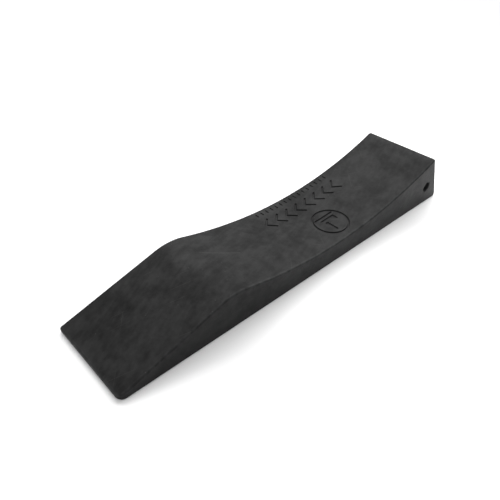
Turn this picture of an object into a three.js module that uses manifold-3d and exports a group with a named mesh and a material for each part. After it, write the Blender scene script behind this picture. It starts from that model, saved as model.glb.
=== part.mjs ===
// A long door-stop wedge, moulded as one solid piece of rubber.
// Units are millimetres, +Z is up, and the origin is the middle of the flat base.
// +X runs from the thin toe, which goes under the door, to the thick heel.
import * as THREE from 'three';
import { mergeVertices } from 'three/addons/utils/BufferGeometryUtils.js';
import Module from 'manifold-3d';

const wasm = await Module();
wasm.setup();

// Driving dimensions: the body.
const LENGTH = 250;            // flat base, from the toe to the foot of the heel
const WIDTH = 51;
const TOE_THICKNESS = 3;
const CREST_HEIGHT = 21.8;     // top of the hump at the end of the ramp
const CREST_RADIUS = 32;
const SADDLE_HEIGHT = 13.1;    // material under the lowest point of the saddle
const SADDLE_RADIUS = 260;
const SADDLE_FROM_TOE = 134;   // from the toe to the lowest point of the saddle
const HEEL_LEAN = 16;          // how far the heel's foot reaches past its top edge
const FOOT_LAND = 2;           // height of the upright strip at the bottom of the heel
const OUTLINE_ROUND = 1.2;     // rounding of the four corners of the side outline
const EDGE_ROUND = 0.9;        // rounding of the long edges along both sides
const HEEL_CORNER = 1.5;       // rounding of the heel's two upright edges, down to the foot
const FAR_TOE_CORNER = 1;      // rounding of the toe's corners, seen from above
const NEAR_TOE_CORNER = 3.5;

// Driving dimensions: the hanging hole across the heel.
const HOLE_DIAMETER = 6.5;
const HOLE_FROM_TOE = 232.5;
const HOLE_HEIGHT = 13.1;

// Driving dimensions: the sunk marks in the saddle. They are plain shapes with no lettering.
// Distances along the body are from the toe.
const MARK_DEPTH = 0.6;
const LINE = 1.4;              // width of the sunk lines
const RING = { x: 151, y: -10, radius: 11.3 };
const CHEVRONS = { start: 119, end: 185, y: 11.3, height: 10, reach: 4.6, count: 8 };
const TICKS = { start: 122, end: 182, y: 21.4, height: 3.2, width: 0.9, count: 16 };

// The sign inside the ring, measured from the ring's centre to the sign's right and upwards.
const SIGN_FLOOR = { left: -7.2, right: 7.2, up: -5.6, thick: 1.1 };
const SIGN_WEDGE = { heel: -6.2, toe: 6.6, base: -3.6, top: 0.8 };
const SIGN_DOOR = { right: 2.4, bottom: -1, top: 7.4, thick: 2.1 };

// How finely the round stretches are divided.
const SADDLE_STEPS = 40;
const CREST_STEPS = 16;
const OUTLINE_ROUND_STEPS = 3;
const PLAN_CORNER_STEPS = 6;
const HOLE_SIDES = 36;
const RING_STEPS = 20;

// Cutting tools run past the body by this much, so that no cut ends on a face.
const OVERRUN = 5;

const TOE_X = -LENGTH / 2;
const HEEL_X = LENGTH / 2;
const fromToe = (distance) => TOE_X + distance;

// Arc points about a centre, from one angle to another, both ends included.
function arc(centre, radius, from, to, steps) {
  const points = [];
  for (let i = 0; i <= steps; i += 1) {
    const angle = from + ((to - from) * i) / steps;
    points.push(new THREE.Vector2(
      centre.x + radius * Math.cos(angle),
      centre.y + radius * Math.sin(angle),
    ));
  }
  return points;
}

// The centres of the hump and of the saddle: two arcs that touch each other without a corner.
function topArcs() {
  const saddle = new THREE.Vector2(fromToe(SADDLE_FROM_TOE), SADDLE_HEIGHT + SADDLE_RADIUS);
  const apart = SADDLE_RADIUS + CREST_RADIUS;
  const rise = apart - (CREST_HEIGHT - SADDLE_HEIGHT);
  const run = Math.sqrt(apart * apart - rise * rise);
  const crest = new THREE.Vector2(saddle.x - run, CREST_HEIGHT - CREST_RADIUS);
  return { crest, saddle };
}

// The direction, as an angle, from one point to another.
const headingTo = (from, to) => Math.atan2(to.y - from.y, to.x - from.x);

// The top surface from the heel's top edge down the saddle, over the hump and down the ramp.
function topLine() {
  const { crest, saddle } = topArcs();
  const heelTopX = HEEL_X - HEEL_LEAN;
  const heelAngle = -Math.acos((heelTopX - saddle.x) / SADDLE_RADIUS);
  const saddleEnd = headingTo(saddle, crest);
  const saddlePoints = arc(saddle, SADDLE_RADIUS, heelAngle, saddleEnd, SADDLE_STEPS);

  const toeTop = new THREE.Vector2(TOE_X, TOE_THICKNESS);
  const rampAngle = headingTo(toeTop, crest)
    + Math.asin(CREST_RADIUS / toeTop.distanceTo(crest));
  const crestStart = headingTo(crest, saddle);
  const crestPoints = arc(crest, CREST_RADIUS, crestStart, Math.PI / 2 + rampAngle, CREST_STEPS);
  return [...saddlePoints, ...crestPoints.slice(1), toeTop];
}

// Replaces an outline's corner with an arc that touches both of its straight sides.
function roundCorner(before, corner, after) {
  const radius = OUTLINE_ROUND;
  const toBefore = before.clone().sub(corner).normalize();
  const toAfter = after.clone().sub(corner).normalize();
  const half = Math.acos(toBefore.dot(toAfter)) / 2;
  const middle = toBefore.clone().add(toAfter).normalize();
  const centre = corner.clone().addScaledVector(middle, radius / Math.sin(half));
  const start = corner.clone().addScaledVector(toBefore, radius / Math.tan(half));
  const from = headingTo(centre, start);
  const turn = Math.PI - 2 * half;
  return arc(centre, radius, from, from + turn, OUTLINE_ROUND_STEPS);
}

// The closed side outline, anticlockwise: base, heel, saddle, hump, ramp and toe.
function sideOutline() {
  const top = topLine();
  const heelTop = top[0];
  const toeTop = top[top.length - 1];
  const rampTop = top[top.length - 2];
  const foot = new THREE.Vector2(HEEL_X, 0);
  const footTop = new THREE.Vector2(HEEL_X, FOOT_LAND);
  const toeBase = new THREE.Vector2(TOE_X, 0);
  const nextOnSaddle = top[1];
  const points = [
    ...roundCorner(toeTop, toeBase, foot),
    ...roundCorner(toeBase, foot, footTop),
    footTop,
    ...roundCorner(footTop, heelTop, nextOnSaddle),
    ...top.slice(1, -1),
    ...roundCorner(rampTop, toeTop, toeBase),
  ];
  return new THREE.Shape(points);
}

// The side outline pulled across the width, with its long edges rounded.
function bodyGeometry() {
  const geometry = new THREE.ExtrudeGeometry(sideOutline(), {
    depth: WIDTH - 2 * EDGE_ROUND,
    bevelThickness: EDGE_ROUND,
    bevelSize: EDGE_ROUND,
    bevelOffset: -EDGE_ROUND,
    bevelSegments: 3,
  });
  geometry.translate(0, 0, -(WIDTH - 2 * EDGE_ROUND) / 2);
  geometry.rotateX(Math.PI / 2);
  return geometry;
}

// A shape drawn in plan and pulled up through the whole height of the body.
function planPrism(shape) {
  const geometry = new THREE.ExtrudeGeometry(shape, {
    depth: topLine()[0].y + 2 * OVERRUN,
    bevelEnabled: false,
    curveSegments: RING_STEPS,
  });
  geometry.translate(0, 0, -OVERRUN);
  return geometry;
}

// The plan outline of the body from this toe end to the foot, with rounded corners.
function planOutline(toeX) {
  const y = WIDTH / 2;
  const quarter = Math.PI / 2;
  const corners = [
    { x: HEEL_X, y, radius: HEEL_CORNER },
    { x: toeX, y, radius: FAR_TOE_CORNER },
    { x: toeX, y: -y, radius: NEAR_TOE_CORNER },
    { x: HEEL_X, y: -y, radius: HEEL_CORNER },
  ];
  const points = corners.flatMap((corner, i) => {
    const centre = new THREE.Vector2(
      corner.x - Math.sign(corner.x) * corner.radius,
      corner.y - Math.sign(corner.y) * corner.radius,
    );
    return arc(centre, corner.radius, i * quarter, (i + 1) * quarter, PLAN_CORNER_STEPS);
  });
  return new THREE.Shape(points);
}

// Rounds the toe's corners and the foot's.
function uprightPrism() {
  return planPrism(planOutline(TOE_X));
}

// Rounds the heel's upright edges: it leans as the heel does, and starts short of the toe.
function leaningPrism() {
  const lean = HEEL_LEAN / (topLine()[0].y - FOOT_LAND);
  const shear = new THREE.Matrix4().set(
    1, 0, -lean, lean * FOOT_LAND,
    0, 1, 0, 0,
    0, 0, 1, 0,
    0, 0, 0, 1,
  );
  return planPrism(planOutline(TOE_X - OVERRUN)).applyMatrix4(shear);
}

// The drill for the hanging hole, which lies across the body.
function holeGeometry() {
  const radius = HOLE_DIAMETER / 2;
  const geometry = new THREE.CylinderGeometry(radius, radius, WIDTH + 2 * OVERRUN, HOLE_SIDES);
  geometry.translate(fromToe(HOLE_FROM_TOE), 0, HOLE_HEIGHT);
  return geometry;
}

// A thin straight bar between two points, drawn in plan.
function barShape(from, to, width) {
  const along = to.clone().sub(from).normalize();
  const side = new THREE.Vector2(-along.y, along.x).multiplyScalar(width / 2);
  return new THREE.Shape([
    from.clone().sub(side),
    to.clone().sub(side),
    to.clone().add(side),
    from.clone().add(side),
  ]);
}

// A V that points towards the toe.
function chevronShape(tipX, y) {
  const half = CHEVRONS.height / 2;
  const reach = CHEVRONS.reach;
  const thick = LINE * Math.hypot(half, reach) / half;
  return new THREE.Shape([
    new THREE.Vector2(tipX, y),
    new THREE.Vector2(tipX + reach, y - half),
    new THREE.Vector2(tipX + reach + thick, y - half),
    new THREE.Vector2(tipX + thick, y),
    new THREE.Vector2(tipX + reach + thick, y + half),
    new THREE.Vector2(tipX + reach, y + half),
  ]);
}

function ringShape() {
  const shape = new THREE.Shape();
  shape.absarc(fromToe(RING.x), RING.y, RING.radius, 0, 2 * Math.PI, false);
  const inner = new THREE.Path();
  inner.absarc(fromToe(RING.x), RING.y, RING.radius - LINE, 0, 2 * Math.PI, true);
  shape.holes.push(inner);
  return shape;
}

// A wedge on a floor line under the edge of a door, drawn inside the ring.
// The sign reads from the heel to the toe, so its right is -X and its top is -Y.
function wedgeSignShapes() {
  const at = (right, up) => new THREE.Vector2(fromToe(RING.x) - right, RING.y - up);
  const { heel, toe, base, top } = SIGN_WEDGE;
  const wedge = new THREE.Shape([at(heel, base), at(heel, top), at(toe, base)]);
  const doorFoot = at(SIGN_DOOR.right, SIGN_DOOR.bottom);
  const door = barShape(doorFoot, at(SIGN_DOOR.right, SIGN_DOOR.top), SIGN_DOOR.thick);
  const floorLeft = at(SIGN_FLOOR.left, SIGN_FLOOR.up);
  const floor = barShape(floorLeft, at(SIGN_FLOOR.right, SIGN_FLOOR.up), SIGN_FLOOR.thick);
  return [wedge, door, floor];
}

function markShapes() {
  const shapes = [ringShape(), ...wedgeSignShapes()];
  const pitch = (CHEVRONS.end - CHEVRONS.start) / CHEVRONS.count;
  for (let i = 0; i < CHEVRONS.count; i += 1) {
    shapes.push(chevronShape(fromToe(CHEVRONS.start + i * pitch), CHEVRONS.y));
  }
  for (let i = 0; i < TICKS.count; i += 1) {
    const x = fromToe(TICKS.start + ((TICKS.end - TICKS.start) * i) / (TICKS.count - 1));
    const from = new THREE.Vector2(x, TICKS.y - TICKS.height / 2);
    const to = new THREE.Vector2(x, TICKS.y + TICKS.height / 2);
    shapes.push(barShape(from, to, TICKS.width));
  }
  return shapes;
}

// A closed geometry as a solid that can be cut and joined.
function solid(geometry) {
  geometry.deleteAttribute('normal');
  geometry.deleteAttribute('uv');
  const merged = mergeVertices(geometry, 1e-4);
  return new wasm.Manifold(new wasm.Mesh({
    numProp: 3,
    vertProperties: new Float32Array(merged.attributes.position.array),
    triVerts: new Uint32Array(merged.index.array),
  }));
}

// A solid back as a three.js geometry.
function geometryOf(body) {
  const mesh = body.getMesh();
  const geometry = new THREE.BufferGeometry();
  geometry.setAttribute('position', new THREE.BufferAttribute(mesh.vertProperties, 3));
  geometry.setIndex(new THREE.BufferAttribute(mesh.triVerts, 1));
  geometry.computeVertexNormals();
  return geometry;
}

// Each mark is sunk to the same depth below the curved saddle.
function cutMarks(body) {
  const floor = solid(bodyGeometry().translate(0, 0, -MARK_DEPTH));
  return markShapes().reduce(
    (cut, shape) => cut.subtract(solid(planPrism(shape)).subtract(floor)),
    body,
  );
}

function wedgeBody() {
  const rounded = solid(bodyGeometry())
    .intersect(solid(uprightPrism()))
    .intersect(solid(leaningPrism()));
  const drilled = rounded.subtract(solid(holeGeometry()));
  const rubber = new THREE.MeshStandardMaterial({ color: 0x3b3b3c, roughness: 0.72, metalness: 0 });
  const mesh = new THREE.Mesh(geometryOf(cutMarks(drilled)), rubber);
  mesh.name = 'wedge_body';
  return mesh;
}

const doorStop = new THREE.Group();
doorStop.add(wedgeBody());

export default doorStop;
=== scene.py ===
"""A door-stop wedge, moulded as one piece of matte black rubber, on a plain pale floor."""

import math

import bmesh
import bpy
import numpy as np
from mathutils import Matrix, Vector


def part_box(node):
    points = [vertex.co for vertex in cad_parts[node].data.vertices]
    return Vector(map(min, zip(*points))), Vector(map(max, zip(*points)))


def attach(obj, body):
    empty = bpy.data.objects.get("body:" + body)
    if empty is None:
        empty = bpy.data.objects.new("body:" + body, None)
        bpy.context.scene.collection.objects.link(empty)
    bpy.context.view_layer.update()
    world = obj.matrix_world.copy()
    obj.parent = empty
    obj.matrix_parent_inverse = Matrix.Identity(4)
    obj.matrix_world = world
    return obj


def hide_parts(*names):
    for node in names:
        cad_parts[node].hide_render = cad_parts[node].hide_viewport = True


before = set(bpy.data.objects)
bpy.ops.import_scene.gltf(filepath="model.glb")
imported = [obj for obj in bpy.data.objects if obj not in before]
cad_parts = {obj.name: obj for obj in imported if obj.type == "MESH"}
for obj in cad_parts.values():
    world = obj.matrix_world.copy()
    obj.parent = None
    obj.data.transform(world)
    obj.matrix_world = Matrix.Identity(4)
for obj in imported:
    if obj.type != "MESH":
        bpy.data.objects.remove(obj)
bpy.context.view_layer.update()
body_low, body_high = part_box("wedge_body")

# Lengths in the shape code are millimetres in the row's frame, and MM turns them into metres.
MM = 0.001
TOE_X = body_low.x / MM
HEEL_X = body_high.x / MM
HALF_WIDTH = body_high.y / MM

# The side outline.
TOE_THICKNESS = 3.0
CREST_HEIGHT = 21.8
CREST_RADIUS = 32.0
SADDLE_HEIGHT = 13.1
SADDLE_RADIUS = 260.0
SADDLE_X = TOE_X + 134.0       # the lowest point of the saddle
HEEL_LEAN = 16.0               # how far the foot reaches past the heel's top edge
FOOT_LAND = 2.0                # the upright strip at the bottom of the heel
OUTLINE_ROUND = 1.2
EDGE_ROUND = 0.9
HEEL_CORNER = 1.5              # rounding of the heel's two upright edges, down to the foot
FAR_TOE_CORNER = 1.0           # rounding of the toe's corners, seen from above
NEAR_TOE_CORNER = 3.5
CORNER_REACH = 9.0             # how far in from each end the rounding of a corner is felt

# The hanging hole.
HOLE_X = TOE_X + 232.5
HOLE_Z = 13.1
HOLE_RADIUS = 3.25
HOLE_MOUTH = 0.6               # rounding of the hole's edge
HOLE_SIDES = 72

# The sunk marks: plain shapes in the saddle. X is counted from the toe.
MARK_DEPTH = 0.6
MARK_WALL = 0.3                # how wide the sloping wall of a mark is
LINE = 1.4
RING = {"x": 151.0, "y": -10.0, "radius": 11.3}
CHEVRONS = {"start": 119.0, "end": 185.0, "y": 11.3, "height": 10.0, "reach": 4.6, "count": 8}
TICKS = {"start": 122.0, "end": 182.0, "y": 21.4, "height": 3.2, "width": 0.9, "count": 16}
SIGN_FLOOR = {"left": -7.2, "right": 7.2, "up": -5.6, "thick": 1.1}
SIGN_WEDGE = {"heel": -6.2, "toe": 6.6, "base": -3.6, "top": 0.8}
SIGN_DOOR = {"right": 2.4, "bottom": -1.0, "top": 7.4, "thick": 2.1}

# Mesh density.
MARK_STEP = 0.33               # grid spacing where the marks are
MARK_SNAP = 0.17               # how near a mark's edge a vertex is when it moves onto it
PLAIN_STEP = 1.4               # grid spacing elsewhere
FINE_STEP = 0.2                # grid spacing next to a rounded corner
FINE_STEPS = 6
FINE_REACH = FINE_STEPS * FINE_STEP
SIDE_ROWS = 18                 # rows between the two fine stretches of an end face
FILLET_STEPS = 6
SHARP_ANGLE = math.radians(38) # the walls of the marks meet the top at a crisp corner
SUPPORT = 0.15                 # a loop of vertices this far inside the flat sides keeps them flat
MERGE_DISTANCE = 0.001         # vertices nearer than this become one
FAR_AWAY = 1e9

# The rubber's colours. The top and the other faces differ partly by bloom and partly by painted shade,
# which keeps the sides darker than the top.
RUBBER_DARK = (0.008, 0.008, 0.008, 1)
RUBBER_PALE = (0.014, 0.014, 0.014, 1)
BLOOM_AND_TOP_LIGHT_DARK = (0.0035, 0.0035, 0.0035, 1)      # on upward faces: partly bloom, partly painted light that sets the top apart from the shaded sides
BLOOM_AND_TOP_LIGHT_PALE = (0.0205, 0.0205, 0.0205, 1)
# worn edges, and the painted highlight along the heel's top edge
RUBBER_WORN_AND_HIGHLIGHT = (0.05, 0.05, 0.051, 1)
RUBBER_DUST = (0.09, 0.088, 0.085, 1)

# The rubber's gloss.
RUBBER_SPECULAR = 0.085
CLEAN_ROUGHNESS = 0.54
BLOOM_ROUGHNESS = 0.46
WORN_POLISH = 0.08             # how much less rough a worn edge is

# The rubber's clouds.
CLOUD_SIZE = 17.0
CLOUD_SHARE = 0.5
MOTTLE_SIZE = 4.5
MOTTLE_SHARE = 0.3
STREAK_SCALE = (0.05, 0.4, 0.4)
STREAK_TURN = math.radians(-20)
STREAK_SHARE = 0.2
CLOUD_RANGE = (0.33, 0.67)     # the clouds' values where the rubber is darkest, and where it is palest
GLOSS_RANGE = (0.37, 0.63)     # and where it is roughest, and where it is smoothest
UPWARD = (0.75, 0.95)          # the normal's Z where the top's colour of bloom and painted light begins, and where it is full

# Wear, with a painted highlight along the heel's top edge, scratches and dust.
EDGE_WEAR_AND_HIGHLIGHT = 0.35
WEAR_REACH = 1.2               # how far in from an edge the wear reaches
HEEL_WEAR_AND_HIGHLIGHT_SHARE = 0.3          # below 1, the wear reaches further in from the heel's top edge, where the paler band is a painted highlight
RUB_SIZE = 3.0                 # size of the patches in the wear
RUB_RANGE = (0.35, 0.65)       # the noise's values where the wear is least, and where it is full
LEAST_RUB = 0.25
HAIRLINES = [
    {"turn": math.radians(28), "spacing": 9.0, "width": 0.1},
    {"turn": math.radians(-50), "spacing": 13.0, "width": 0.08},
]
HAIRLINE_PATCH = 14.0          # size of the patches that have hairlines
HAIRLINE_RANGE = (0.53, 0.66)  # the noise's values where hairlines begin, and where they are full
HAIRLINE_BEND = 12.0           # how far a hairline strays from its straight course
HAIRLINE_BEND_SIZE = 50.0
SCRATCH_WIDTH = 0.3
SCRATCHES = [((TOE_X + 69.2, 8.8), (TOE_X + 87.9, -0.5))]
SCRATCH_PALENESS = 0.2
SCRATCH_DEPTH = 0.02
SPECKS = [{"size": 1.3, "spacing": 15.0, "share": 0.4}, {"size": 0.5, "spacing": 4.0, "share": 0.3}]
SPECK_PALENESS = 0.3

# The size and the height of the rubber's grain and of its pebbling.
GRAIN_SIZE = 0.35
GRAIN_DEPTH = 0.03
PEBBLE_SIZE = 2.2
PEBBLE_DEPTH = 0.03

# The studio.
FLOOR_SIZE = 6000
FLOOR_GAP = 0.02               # the floor lies this far under the base, so the two never coincide
ROOM_LIGHT = 0.93
DARK_SIDE = (0.45, -0.89, 0.0) # the room is darker on this side of the wedge
DARK_SIDE_LIGHT = 0.55         # the share of the room's light there
DARK_SIDE_RANGE = (0.1, 0.9)   # how far towards it the darkening begins, and where it is full
PAPER_DARK = (0.89, 0.89, 0.89, 1)
PAPER_PALE = (0.9, 0.9, 0.9, 1)
PAPER_ROUGHNESS = 0.9
PAPER_SPECULAR = 0.1
PAPER_MOTTLE = 60.0
LIGHTS = [
    {"name": "right_softbox", "at": (420, 0, 300), "aim": (60, 0, 0), "size": 300, "strength": 20},
    {"name": "back_softbox", "at": (60, 300, 350), "aim": (30, 0, 0), "size": 300, "strength": 11.3},
    {"name": "ceiling", "at": (600, 900, 1200), "aim": (0, 0, 0), "size": 1200, "strength": 5.4},
]

# The camera: degrees down, from +Y towards +X, and rolled.
CAMERA_AT = (-169.2, -136.8, 170.3)
CAMERA_ANGLES = (38.50, 45.67, 3.50)
CAMERA_LENS = 34.18


def arc_centres():
    """Centres of the crest's and the saddle's arcs, which touch without a corner."""
    saddle = np.array([SADDLE_X, SADDLE_HEIGHT + SADDLE_RADIUS])
    apart = SADDLE_RADIUS + CREST_RADIUS
    rise = apart - (CREST_HEIGHT - SADDLE_HEIGHT)
    run = math.sqrt(apart**2 - rise**2)
    crest = np.array([SADDLE_X - run, CREST_HEIGHT - CREST_RADIUS])
    return crest, saddle


CREST, SADDLE = arc_centres()
TOE_TO_CREST = CREST - np.array([TOE_X, TOE_THICKNESS])
RAMP_ANGLE = (math.atan2(TOE_TO_CREST[1], TOE_TO_CREST[0])
              + math.asin(CREST_RADIUS / np.linalg.norm(TOE_TO_CREST)))
RAMP_SLOPE = math.tan(RAMP_ANGLE)
RAMP_END_X = CREST[0] - CREST_RADIUS * math.sin(RAMP_ANGLE)
SADDLE_START_X = CREST[0] + (SADDLE[0] - CREST[0]) * CREST_RADIUS / (CREST_RADIUS + SADDLE_RADIUS)
HEEL_TOP_X = HEEL_X - HEEL_LEAN


def top_height(x):
    """Height of the top surface at x: ramp, crest, then saddle."""
    ramp = TOE_THICKNESS + (x - TOE_X) * RAMP_SLOPE
    crest = CREST[1] + np.sqrt(np.maximum(CREST_RADIUS**2 - (x - CREST[0]) ** 2, 0))
    saddle = SADDLE[1] - np.sqrt(SADDLE_RADIUS**2 - (x - SADDLE[0]) ** 2)
    return np.where(x < RAMP_END_X, ramp, np.where(x < SADDLE_START_X, crest, saddle))


HEEL_HEIGHT = float(top_height(HEEL_TOP_X))
HEEL_SLOPE = (HEEL_TOP_X - SADDLE[0]) / (SADDLE[1] - HEEL_HEIGHT)    # of the top at the heel


def steps(start, end, spacing):
    """Evenly spaced values from start up to, and not including, end."""
    count = max(1, round((end - start) / spacing))
    return start + (end - start) * np.arange(count) / count


def top_columns():
    """X of each column of the top, closest together in the marks and next to the two ends."""
    marks_start = TOE_X + CHEVRONS["start"] - 2
    marks_end = TOE_X + CHEVRONS["end"] + 2
    return np.concatenate([
        steps(TOE_X, TOE_X + FINE_REACH, FINE_STEP),
        steps(TOE_X + FINE_REACH, RAMP_END_X, PLAIN_STEP),
        steps(RAMP_END_X, SADDLE_START_X, PLAIN_STEP),
        steps(SADDLE_START_X, marks_start, PLAIN_STEP),
        steps(marks_start, marks_end, MARK_STEP),
        steps(marks_end, HEEL_TOP_X - FINE_REACH, PLAIN_STEP),
        steps(HEEL_TOP_X - FINE_REACH, HEEL_TOP_X, FINE_STEP),
        [HEEL_TOP_X],
    ])


def smooth(t):
    """0 below 0, 1 above 1, and a smooth S between."""
    t = np.clip(t, 0, 1)
    return t * t * (3 - 2 * t)


def polyline(corners, positions):
    """Points on a chain of straight lines, at these shares of its length."""
    corners = np.array(corners, float)
    lengths = np.linalg.norm(np.diff(corners, axis=0), axis=1)
    along = np.concatenate([[0], np.cumsum(lengths)]) / lengths.sum()
    return np.stack([np.interp(positions, along, corners[:, axis]) for axis in (0, 1)], axis=1)


def end_rows(length):
    """Shares of an end face's height: close together next to both of its rounded corners."""
    fine = min(FINE_REACH, length * 0.4) / length
    edge = fine * np.arange(FINE_STEPS + 1) / FINE_STEPS
    middle = fine + (1 - 2 * fine) * np.arange(1, SIDE_ROWS) / SIDE_ROWS
    return np.concatenate([edge, middle, 1 - edge[::-1]])


def round_corner(points, normals, corner, towards_a, towards_b):
    """Moves the outline's points next to a sharp corner onto an arc that touches both sides."""
    a = (towards_a - corner) / np.linalg.norm(towards_a - corner)
    b = (towards_b - corner) / np.linalg.norm(towards_b - corner)
    half = math.acos(float(a @ b)) / 2
    centre = corner + (a + b) / np.linalg.norm(a + b) * OUTLINE_ROUND / math.sin(half)
    near = np.linalg.norm(points - corner, axis=1) < OUTLINE_ROUND / math.tan(half)
    away = points[near] - centre
    normals[near] = away / np.linalg.norm(away, axis=1)[:, None]
    points[near] = centre + OUTLINE_ROUND * normals[near]


def outline():
    """The side outline: for each of its four sides, its points and their outward normals.

    Each side runs from its low end or its toe end, and the corners are rounded."""
    x = top_columns()
    top = np.stack([x, top_height(x)], axis=1)
    lean = HEEL_LEAN * smooth((x - SADDLE_X) / (HEEL_TOP_X - SADDLE_X))
    bottom = np.stack([x + lean, np.zeros_like(x)], axis=1)
    toe_base, toe_top, foot, heel_top = bottom[0], top[0], bottom[-1], top[-1]
    land_top = np.array([HEEL_X, FOOT_LAND])
    heel_length = FOOT_LAND + np.linalg.norm(heel_top - land_top)
    toe = polyline([toe_base, toe_top], end_rows(TOE_THICKNESS))
    heel = polyline([foot, land_top, heel_top], end_rows(heel_length))

    loop = np.concatenate([bottom[:-1], heel[:-1], top[:0:-1], toe[:0:-1]])
    along = np.roll(loop, -1, axis=0) - np.roll(loop, 1, axis=0)
    normals = np.stack([along[:, 1], -along[:, 0]], axis=1)
    normals /= np.linalg.norm(normals, axis=1)[:, None]
    round_corner(loop, normals, toe_base, toe_top, foot)
    round_corner(loop, normals, foot, land_top, toe_base)
    round_corner(loop, normals, land_top, foot, heel_top)
    round_corner(loop, normals, heel_top, land_top, top[-2])
    round_corner(loop, normals, toe_top, toe_base, top[1])

    columns, rows = len(top) - 1, len(toe) - 1
    starts = np.cumsum([0, columns, rows, columns, rows])
    sides = {}
    for name, first, last in zip(("bottom", "heel", "top", "toe"), starts, starts[1:]):
        places = np.arange(first, last + 1) % len(loop)
        places = places if name in ("bottom", "heel") else places[::-1]
        sides[name] = (loop[places], normals[places])
    return sides


def stations():
    """Y and inset of each station across the width, from the near side to the far side."""
    turn = np.linspace(0, math.pi / 2, FILLET_STEPS + 1)
    flat_edge = HALF_WIDTH - EDGE_ROUND
    flat = np.append(steps(-flat_edge, flat_edge, MARK_STEP), flat_edge)
    outer = flat_edge + EDGE_ROUND * np.sin(turn[1:])
    inset = EDGE_ROUND * (1 - np.cos(turn[1:]))
    y = np.concatenate([-outer[::-1], flat, outer])
    return y, np.concatenate([inset[::-1], np.zeros_like(flat), inset])


def segment_distance(x, y, a, b, width):
    """Signed distance to a bar from a to b, rounded at its ends."""
    a, b = np.array(a, float), np.array(b, float)
    along = b - a
    t = np.clip(((x - a[0]) * along[0] + (y - a[1]) * along[1]) / (along @ along), 0, 1)
    return np.hypot(x - a[0] - t * along[0], y - a[1] - t * along[1]) - width / 2


def polygon_distance(x, y, corners):
    """Signed distance to a convex polygon whose corners go anticlockwise, exact inside it."""
    outside = np.full_like(x, -FAR_AWAY)
    for a, b in zip(corners, corners[1:] + corners[:1]):
        ex, ey = b[0] - a[0], b[1] - a[1]
        outside = np.maximum(outside, ((x - a[0]) * ey - (y - a[1]) * ex) / math.hypot(ex, ey))
    return outside


def sign_distance(x, y):
    """Signed distance to the ring and to the wedge, door and floor drawn in it.

    The sign reads from the heel to the toe, so its right is -X and its top is -Y."""
    right, up = TOE_X + RING["x"] - x, RING["y"] - y
    ring = np.abs(np.hypot(right, up) - (RING["radius"] - LINE / 2)) - LINE / 2
    wedge = polygon_distance(right, up, [
        (SIGN_WEDGE["heel"], SIGN_WEDGE["base"]),
        (SIGN_WEDGE["toe"], SIGN_WEDGE["base"]),
        (SIGN_WEDGE["heel"], SIGN_WEDGE["top"]),
    ])
    half = SIGN_DOOR["thick"] / 2
    door = polygon_distance(right, up, [
        (SIGN_DOOR["right"] - half, SIGN_DOOR["bottom"]),
        (SIGN_DOOR["right"] + half, SIGN_DOOR["bottom"]),
        (SIGN_DOOR["right"] + half, SIGN_DOOR["top"]),
        (SIGN_DOOR["right"] - half, SIGN_DOOR["top"]),
    ])
    floor = segment_distance(
        right, up, (SIGN_FLOOR["left"], SIGN_FLOOR["up"]),
        (SIGN_FLOOR["right"], SIGN_FLOOR["up"]), SIGN_FLOOR["thick"])
    return np.minimum.reduce([ring, wedge, door, floor])


def chevron_distance(x, y):
    """Signed distance to the row of Vs that point to the toe."""
    half, reach = CHEVRONS["height"] / 2, CHEVRONS["reach"]
    pitch = (CHEVRONS["end"] - CHEVRONS["start"]) / CHEVRONS["count"]
    nearest = np.full_like(x, FAR_AWAY)
    for number in range(CHEVRONS["count"]):
        tip_x = TOE_X + CHEVRONS["start"] + number * pitch + LINE / 2
        for side in (-1, 1):
            tail = (tip_x + reach, CHEVRONS["y"] + side * (half - LINE / 2))
            bar = segment_distance(x, y, (tip_x, CHEVRONS["y"]), tail, LINE)
            nearest = np.minimum(nearest, bar)
    return nearest


def tick_distance(x, y):
    """Signed distance to the row of short ticks along the far edge."""
    half = (TICKS["height"] - TICKS["width"]) / 2
    nearest = np.full_like(x, FAR_AWAY)
    for tick_x in np.linspace(TOE_X + TICKS["start"], TOE_X + TICKS["end"], TICKS["count"]):
        low, high = (tick_x, TICKS["y"] - half), (tick_x, TICKS["y"] + half)
        nearest = np.minimum(nearest, segment_distance(x, y, low, high, TICKS["width"]))
    return nearest


def mark_distance(x, y):
    """Signed distance from a point of the top, seen from above, to the nearest mark."""
    return np.minimum.reduce([sign_distance(x, y), chevron_distance(x, y), tick_distance(x, y)])


def sink_marks(points):
    """Sinks the marks. Vertices near a mark's edge are first moved onto its lip or its foot,
    so that every wall follows its own line and not the grid."""
    x, y = points[..., 0], points[..., 1]
    distance = mark_distance(x, y)
    nudge = MARK_STEP * 0.1
    slope_x = mark_distance(x + nudge, y) - mark_distance(x - nudge, y)
    slope_y = mark_distance(x, y + nudge) - mark_distance(x, y - nudge)
    steepness = np.maximum(np.hypot(slope_x, slope_y), nudge)
    on_lip = (distance <= MARK_SNAP) & (distance > -MARK_WALL / 2)
    on_foot = (distance <= -MARK_WALL / 2) & (distance > -MARK_WALL - MARK_SNAP)
    move = np.where(on_lip, -distance, np.where(on_foot, -MARK_WALL - distance, 0)) / steepness
    sunk = distance <= -MARK_WALL / 2
    return points + np.stack([move * slope_x, move * slope_y, -MARK_DEPTH * sunk], axis=-1), sunk


def corner_pull(y, radius):
    """How far in from an end a corner of this radius lies, at each y across the width."""
    sine = np.clip((np.abs(y) - (HALF_WIDTH - radius)) / radius, 0, 1)
    return radius * (1 - np.sqrt(1 - sine**2))


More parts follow.
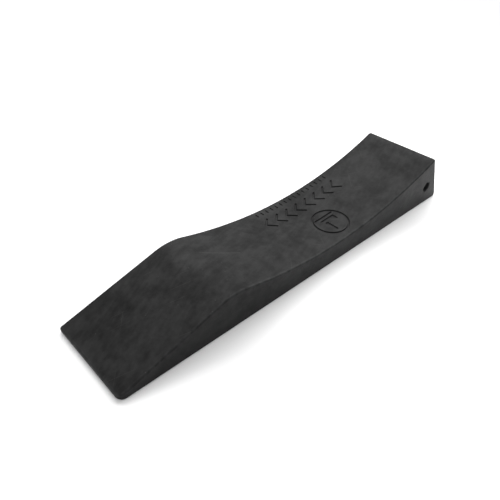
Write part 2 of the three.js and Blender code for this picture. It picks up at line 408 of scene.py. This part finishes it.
def swept(side, y, inset):
    """A side of the outline carried across the width: points[station, place on the side].

    Next to an end, the rounding of the toe's corner or of the heel's upright edge takes the place
    of the long edge's own rounding, and the top keeps its slope."""
    points, normals = side
    x, z = points.T
    y, inset = y[:, None], inset[:, None]
    lean = HEEL_LEAN * np.clip((z - FOOT_LAND) / (HEEL_HEIGHT - FOOT_LAND), 0, 1)
    at_toe = smooth((TOE_X + CORNER_REACH - x) / CORNER_REACH)
    at_heel = smooth((x - HEEL_X + lean + CORNER_REACH) / CORNER_REACH)
    toe_pull = at_toe * corner_pull(y, np.where(y < 0, NEAR_TOE_CORNER, FAR_TOE_CORNER))
    heel_pull = at_heel * corner_pull(y, HEEL_CORNER)
    height = np.clip(z / top_height(np.minimum(x, HEEL_TOP_X)), 0, 1)
    climb = (toe_pull * RAMP_SLOPE - heel_pull * HEEL_SLOPE) * height
    along = x - normals[:, 0] * inset * (1 - at_toe - at_heel) + toe_pull - heel_pull
    up = z - normals[:, 1] * inset + climb
    return np.stack([along, np.broadcast_to(y, along.shape), up], axis=-1)


class Skin:
    """Collects grids of quads. Vertices in the same place are joined at the end."""

    def __init__(self):
        self.points = []
        self.faces = []

    def add_points(self, points):
        start = len(self.points)
        self.points.extend(points.reshape(-1, 3))
        return np.arange(start, start + points.size // 3).reshape(points.shape[:-1])

    def add_quads(self, index, skip=None, sunk=None):
        """Joins a grid's points. A quad on a mark's wall is split along its more level diagonal."""
        for r in range(index.shape[0] - 1):
            for c in range(index.shape[1] - 1):
                if skip is not None and skip(r, c):
                    continue
                places = [(r, c), (r, c + 1), (r + 1, c + 1), (r + 1, c)]
                quad = [index[place] for place in places]
                depths = [0] * 4 if sunk is None else [sunk[place] for place in places]
                if min(depths) == max(depths):
                    self.faces.append(quad)
                elif depths[0] == depths[2]:
                    self.faces += [quad[:3], [quad[2], quad[3], quad[0]]]
                else:
                    self.faces += [quad[1:], [quad[3], quad[0], quad[1]]]


def add_side_rim(skin, sides, which):
    """The outermost strip of a flat side, which keeps the rest of it flat up to the rounded edge."""
    for side in sides.values():
        outer = swept(side, np.array([which * HALF_WIDTH]), np.array([EDGE_ROUND]))[0]
        inner = outer - np.insert(side[1], 1, 0, axis=-1) * SUPPORT
        skin.add_quads(skin.add_points(np.stack([outer, inner])))


def add_hole(skin):
    """The hanging hole: a straight wall between two rounded mouths, each with a flat ring round it."""
    turn = np.linspace(0, math.pi / 2, FILLET_STEPS + 1)
    mouth_radius = HOLE_RADIUS + HOLE_MOUTH * (1 - np.sin(turn))
    mouth_y = HALF_WIDTH - HOLE_MOUTH * (1 - np.cos(turn))
    radius = np.append(mouth_radius[0] + SUPPORT, mouth_radius)
    y = np.append(HALF_WIDTH, mouth_y)
    wall = steps(-y[-1], y[-1], PLAIN_STEP)[1:]
    radius = np.concatenate([radius, np.full_like(wall, HOLE_RADIUS), radius[::-1]])[:, None]
    y = np.concatenate([-y, wall, y[::-1]])[:, None]
    angle = np.linspace(0, 2 * math.pi, HOLE_SIDES + 1)
    across = np.broadcast_to(y, (len(y), len(angle)))
    rows = [HOLE_X + radius * np.cos(angle), across, HOLE_Z + radius * np.sin(angle)]
    skin.add_quads(skin.add_points(np.stack(rows, axis=-1)))


def add_skin(skin, sides):
    """Top, ends, rounded long edges and base, with the marks sunk into the top."""
    y, inset = stations()
    flat = inset == 0
    for name in sides:
        points = swept(sides[name], y, inset)
        sunk = np.zeros(points.shape[:2], bool)
        if name == "top":
            points[flat], sunk[flat] = sink_marks(points[flat])
        index = skin.add_points(points)
        if name != "bottom":
            skin.add_quads(index, sunk=sunk)
            continue
        first, last = FILLET_STEPS + 1, len(y) - FILLET_STEPS - 2
        left, right = FINE_STEPS + 1, index.shape[1] - FINE_STEPS - 2
        skin.add_quads(index, skip=lambda r, c: first <= r < last and left <= c < right)
        base = ([index[first, c] for c in range(left, right)]
                + [index[r, right] for r in range(first, last)]
                + [index[last, c] for c in range(right, left, -1)]
                + [index[r, left] for r in range(last, first, -1)])
        skin.faces.append(base)


def add_edge_attribute(mesh):
    """Stores how near each vertex is to an edge that wears: 1 on the edge, 0 beyond the wear. Along
    the heel's top edge it reaches further in, as a painted highlight.
    """
    places = np.array([vertex.co for vertex in mesh.vertices]) / MM
    x, y, z = places.T
    toe_edge = np.hypot(x - TOE_X, z - TOE_THICKNESS)
    heel_edge = np.hypot(x - HEEL_TOP_X, z - HEEL_HEIGHT)
    long_edge = np.hypot(HALF_WIDTH - np.abs(y), z - top_height(np.minimum(x, HEEL_TOP_X)))
    heel_line = HEEL_X - HEEL_LEAN * z / HEEL_HEIGHT
    upright_edge = np.hypot(HALF_WIDTH - np.abs(y), x - heel_line)
    # The heel's top edge counts as nearer, so its paler band reaches further in: painted highlight.
    nearest = np.minimum.reduce([toe_edge, heel_edge * HEEL_WEAR_AND_HIGHLIGHT_SHARE, long_edge, upright_edge])
    edge = mesh.attributes.new("edge", "FLOAT", "POINT")
    edge.data.foreach_set("value", 1 - smooth((nearest - EDGE_ROUND / 2) / WEAR_REACH))


def wedge_mesh():
    """The whole body as one closed mesh."""
    sides = outline()
    skin = Skin()
    add_skin(skin, sides)
    add_side_rim(skin, sides, -1)
    add_side_rim(skin, sides, 1)
    add_hole(skin)
    mesh = bpy.data.meshes.new("rubber_wedge")
    mesh.from_pydata(np.array(skin.points) * MM, [], [list(map(int, f)) for f in skin.faces])
    shape = bmesh.new()
    shape.from_mesh(mesh)
    bmesh.ops.remove_doubles(shape, verts=shape.verts, dist=MERGE_DISTANCE * MM)
    loose = [v for v in shape.verts if not v.link_faces]
    bmesh.ops.delete(shape, geom=loose, context="VERTS")
    for which in (-1, 1):
        rims = [e for e in shape.edges if len(e.link_faces) == 1 and e.verts[0].co.y * which > 0]
        bmesh.ops.triangle_fill(shape, edges=rims, use_beauty=True, normal=(0, which, 0))
    bmesh.ops.recalc_face_normals(shape, faces=shape.faces)
    shape.to_mesh(mesh)
    shape.free()
    add_edge_attribute(mesh)
    mesh.shade_smooth()
    mesh.set_sharp_from_angle(angle=SHARP_ANGLE)
    return mesh


# ---- looks

def set_inputs(tree, node, inputs):
    """Sets a node's inputs by name or number, or joins them to another node's output."""
    for key, value in inputs.items():
        if isinstance(value, bpy.types.NodeSocket):
            tree.links.new(value, node.inputs[key])
        else:
            node.inputs[key].default_value = value


def add(tree, kind, inputs, **options):
    """Adds a shader node and returns its first output."""
    node = tree.nodes.new("ShaderNode" + kind)
    for name, value in options.items():
        setattr(node, name, value)
    set_inputs(tree, node, inputs)
    return node.outputs[0]


def maths(tree, operation, *values):
    return add(tree, "Math", dict(enumerate(values)), operation=operation)


def vector_maths(tree, operation, inputs):
    """Adds a vector node and returns its vector, or its number where it makes one."""
    result = add(tree, "VectorMath", inputs, operation=operation)
    if operation in ("DOT_PRODUCT", "DISTANCE"):
        return result.node.outputs["Value"]
    return result


def strongest(tree, layers):
    """The greatest of several numbers at each place."""
    result = layers[0]
    for layer in layers[1:]:
        result = maths(tree, "MAXIMUM", result, layer)
    return result


def ramp(tree, value, low, high, to_low=0.0, to_high=1.0):
    """Maps low..high to to_low..to_high with a smooth S, and holds the ends."""
    inputs = {"Value": value, "From Min": low, "From Max": high, "To Min": to_low, "To Max": to_high}
    return add(tree, "MapRange", inputs, interpolation_type="SMOOTHSTEP")


def mix_colour(tree, factor, a, b):
    node = tree.nodes.new("ShaderNodeMix")
    node.data_type = "RGBA"
    set_inputs(tree, node, {0: factor, 6: a, 7: b})
    return node.outputs[2]


def noise(tree, place, size, detail=2.0, roughness=0.5):
    """Noise whose blotches are about size millimetres across."""
    inputs = {"Vector": place, "Scale": 1 / size, "Detail": detail, "Roughness": roughness}
    return add(tree, "TexNoise", inputs)


def scaled(tree, place, x, y, z, turn=0.0):
    """The place turned about Z, then stretched along each axis."""
    turned = add(tree, "VectorRotate", {"Vector": place, "Angle": turn}, rotation_type="Z_AXIS")
    return vector_maths(tree, "MULTIPLY", {0: turned, 1: (x, y, z)})


def object_place(tree):
    """The place on the object, in millimetres."""
    coordinates = tree.nodes.new("ShaderNodeTexCoord").outputs["Object"]
    return scaled(tree, coordinates, 1 / MM, 1 / MM, 1 / MM)


def thin_line(tree, away, width):
    """1 where away is near 0, fading to 0 at width."""
    return ramp(tree, away, width * 0.3, width, 1.0, 0.0)


def specks(tree, place, size, spacing, share):
    """Small round specks, one to a cell of this spacing, in a share of the cells."""
    distance = add(tree, "TexVoronoi", {"Vector": place, "Scale": 1 / spacing})
    dot = ramp(tree, distance, size / spacing * 0.35, size / spacing * 0.6, 1.0, 0.0)
    colour = add(tree, "SeparateColor", {0: distance.node.outputs["Color"]})
    chosen = maths(tree, "LESS_THAN", colour, share)
    return maths(tree, "MULTIPLY", dot, chosen)


def hairlines(tree, place, turn, spacing, width):
    """Nearly straight scratches that run one way, seen from above. A noise leaves out most of them."""
    across = add(tree, "SeparateXYZ", {0: scaled(tree, place, 1, 1, 0, turn)}).node.outputs["Y"]
    bend = maths(tree, "MULTIPLY", noise(tree, place, HAIRLINE_BEND_SIZE, 0.0), HAIRLINE_BEND)
    inputs = {"W": maths(tree, "ADD", across, bend), "Scale": 1 / spacing}
    line = thin_line(tree, add(tree, "TexVoronoi", inputs, voronoi_dimensions="1D"), width / spacing)
    there = ramp(tree, noise(tree, place, HAIRLINE_PATCH, 1.0), *HAIRLINE_RANGE)
    return maths(tree, "MULTIPLY", line, there)


def scratch(tree, place, start, end, width):
    """One straight scratch between two places seen from above."""
    along = Vector((end[0] - start[0], end[1] - start[1], 0))
    flat = vector_maths(tree, "MULTIPLY", {0: place, 1: (1, 1, 0)})
    offset = vector_maths(tree, "SUBTRACT", {0: flat, 1: (start[0], start[1], 0)})
    share = vector_maths(tree, "DOT_PRODUCT", {0: offset, 1: along / along.length_squared})
    share = add(tree, "Clamp", {"Value": share})
    nearest = vector_maths(tree, "SCALE", {0: along, "Scale": share})
    return thin_line(tree, vector_maths(tree, "DISTANCE", {0: offset, 1: nearest}), width)


def rubber_clouds(tree, place):
    """How pale the surface is, about 0.5 on average: clouds, a finer mottle and slanting streaks."""
    cloud = noise(tree, place, CLOUD_SIZE, 4.0, 0.6)
    mottle = noise(tree, place, MOTTLE_SIZE, 5.0, 0.7)
    streaks = noise(tree, scaled(tree, place, *STREAK_SCALE, STREAK_TURN), 1.0, 3.0)
    clouds = maths(tree, "MULTIPLY", cloud, CLOUD_SHARE)
    for layer, share in ((mottle, MOTTLE_SHARE), (streaks, STREAK_SHARE)):
        clouds = maths(tree, "ADD", clouds, maths(tree, "MULTIPLY", layer, share))
    return clouds


def upward_faces(tree):
    """1 where the surface faces up, and 0 where it faces sideways or down."""
    normal = tree.nodes.new("ShaderNodeNewGeometry").outputs["Normal"]
    return ramp(tree, add(tree, "SeparateXYZ", {0: normal}).node.outputs["Z"], *UPWARD)


def edge_wear_and_highlight(tree, place):
    """How worn the surface is: patchy, and only along the edges, with a painted highlight reaching
    further in from the heel's top edge.
    """
    edge = tree.nodes.new("ShaderNodeAttribute")
    edge.attribute_name = "edge"
    rubbed = ramp(tree, noise(tree, place, RUB_SIZE, 3.0), *RUB_RANGE, LEAST_RUB, 1.0)
    return maths(tree, "MULTIPLY", edge.outputs["Fac"], rubbed)


def rubber_marks(tree, place, top):
    """Hairlines and scratches, on the upward faces only."""
    lines = [hairlines(tree, place, **kind) for kind in HAIRLINES]
    lines += [scratch(tree, place, start, end, SCRATCH_WIDTH) for start, end in SCRATCHES]
    return maths(tree, "MULTIPLY", strongest(tree, lines), top)


def rubber_colour(tree, place, clouds, top, worn_and_highlit, marks):
    """Dark rubber with painted shade on the sides and bloom with painted light on the top, paler with
    wear, a painted highlight along the heel's top edge, scratches and specks.
    """
    patchy = ramp(tree, clouds, *CLOUD_RANGE)
    clean_and_side_shaded = mix_colour(tree, patchy, RUBBER_DARK, RUBBER_PALE)
    bloomed_and_top_lit = mix_colour(tree, patchy, BLOOM_AND_TOP_LIGHT_DARK, BLOOM_AND_TOP_LIGHT_PALE)
    # Upward faces take the top's colour and the rest the sides': partly bloom, partly painted shade on
    # the sides.
    colour = mix_colour(tree, top, clean_and_side_shaded, bloomed_and_top_lit)
    # Paler along the edges: wear, and a painted highlight along the heel's top edge.
    colour = mix_colour(tree, maths(tree, "MULTIPLY", worn_and_highlit, EDGE_WEAR_AND_HIGHLIGHT), colour, RUBBER_WORN_AND_HIGHLIGHT)
    dust = strongest(tree, [specks(tree, place, **kind) for kind in SPECKS])
    pale = strongest(tree, [
        maths(tree, "MULTIPLY", marks, SCRATCH_PALENESS),
        maths(tree, "MULTIPLY", dust, SPECK_PALENESS)])
    return mix_colour(tree, pale, colour, RUBBER_DUST)


def rubber_relief(tree, place, marks):
    """The normal, with fine grain, pebbling and the sunk scratches."""
    grain = noise(tree, place, GRAIN_SIZE, 3.0, 0.6)
    pebble = noise(tree, place, PEBBLE_SIZE, 2.0, 0.5)
    fine = add(tree, "Bump", {"Height": grain, "Strength": 1.0, "Distance": GRAIN_DEPTH * MM})
    broad = add(tree, "Bump", {
        "Height": pebble, "Strength": 1.0, "Distance": PEBBLE_DEPTH * MM, "Normal": fine})
    scored = {"Height": marks, "Strength": 1.0, "Distance": SCRATCH_DEPTH * MM, "Normal": broad}
    return add(tree, "Bump", scored, invert=True)


def rubber_material():
    """Matte black moulded rubber."""
    material = bpy.data.materials.new("black_rubber")
    material.use_nodes = True
    tree = material.node_tree
    place = object_place(tree)
    clouds = rubber_clouds(tree, place)
    top = upward_faces(tree)
    worn_and_highlit = edge_wear_and_highlight(tree, place)
    marks = rubber_marks(tree, place, top)
    roughness = ramp(tree, clouds, *GLOSS_RANGE, CLEAN_ROUGHNESS, BLOOM_ROUGHNESS)
    set_inputs(tree, tree.nodes["Principled BSDF"], {
        "Base Color": rubber_colour(tree, place, clouds, top, worn_and_highlit, marks),
        "Roughness": maths(tree, "SUBTRACT", roughness, maths(tree, "MULTIPLY", worn_and_highlit, WORN_POLISH)),
        "Normal": rubber_relief(tree, place, marks),
        "Specular IOR Level": RUBBER_SPECULAR})
    return material


def floor_material():
    """A plain white paper sweep with a barely visible mottle."""
    material = bpy.data.materials.new("white_paper")
    material.use_nodes = True
    tree = material.node_tree
    tint = ramp(tree, noise(tree, object_place(tree), PAPER_MOTTLE, 2.0), 0.3, 0.7)
    set_inputs(tree, tree.nodes["Principled BSDF"], {
        "Base Color": mix_colour(tree, tint, PAPER_DARK, PAPER_PALE),
        "Roughness": PAPER_ROUGHNESS, "Specular IOR Level": PAPER_SPECULAR})
    return material


def add_body():
    body = bpy.data.objects.new("rubber_wedge", wedge_mesh())
    body.data.materials.append(rubber_material())
    bpy.context.scene.collection.objects.link(body)
    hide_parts("wedge_body")
    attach(body, "root")


def add_floor():
    half = FLOOR_SIZE / 2 * MM
    z = -FLOOR_GAP * MM
    mesh = bpy.data.meshes.new("floor")
    corners = [(-half, -half, z), (half, -half, z), (half, half, z), (-half, half, z)]
    mesh.from_pydata(corners, [], [(0, 1, 2, 3)])
    mesh.materials.append(floor_material())
    floor = bpy.data.objects.new("floor", mesh)
    bpy.context.scene.collection.objects.link(floor)


def add_light(name, at, aim, size, strength):
    """A soft square light. Its strength is in watts per square metre."""
    light = bpy.data.lights.new(name, "AREA")
    light.shape = "SQUARE"
    light.size = size * MM
    light.energy = strength * (size * MM) ** 2
    lamp = bpy.data.objects.new(name, light)
    lamp.location = Vector(at) * MM
    lamp.rotation_euler = (Vector(aim) - Vector(at)).to_track_quat("-Z", "Y").to_euler()
    bpy.context.scene.collection.objects.link(lamp)


def add_world():
    """An even white room, dimmer towards the dark side."""
    world = bpy.data.worlds.new("studio")
    world.use_nodes = True
    tree = world.node_tree
    direction = tree.nodes.new("ShaderNodeTexCoord").outputs["Generated"]
    towards = vector_maths(tree, "DOT_PRODUCT", {0: direction, 1: DARK_SIDE})
    strength = ramp(tree, towards, *DARK_SIDE_RANGE, ROOM_LIGHT, ROOM_LIGHT * DARK_SIDE_LIGHT)
    set_inputs(tree, tree.nodes["Background"], {"Color": (1, 1, 1, 1), "Strength": strength})
    bpy.context.scene.world = world


def add_camera():
    down, heading, roll = (math.radians(angle) for angle in CAMERA_ANGLES)
    camera = bpy.data.cameras.new("camera")
    camera.sensor_width = 36
    camera.lens = CAMERA_LENS
    camera.clip_start = 0.01
    holder = bpy.data.objects.new("camera", camera)
    turned = (Matrix.Rotation(-heading, 4, "Z") @ Matrix.Rotation(math.pi / 2 - down, 4, "X")
              @ Matrix.Rotation(roll, 4, "Z"))
    holder.matrix_world = Matrix.Translation(Vector(CAMERA_AT) * MM) @ turned
    bpy.context.scene.collection.objects.link(holder)
    bpy.context.scene.camera = holder


add_body()
add_floor()
for light in LIGHTS:
    add_light(**light)
add_world()
add_camera()
bpy.context.scene.view_settings.view_transform = "Standard"
bpy.context.scene.cycles.use_denoising = True
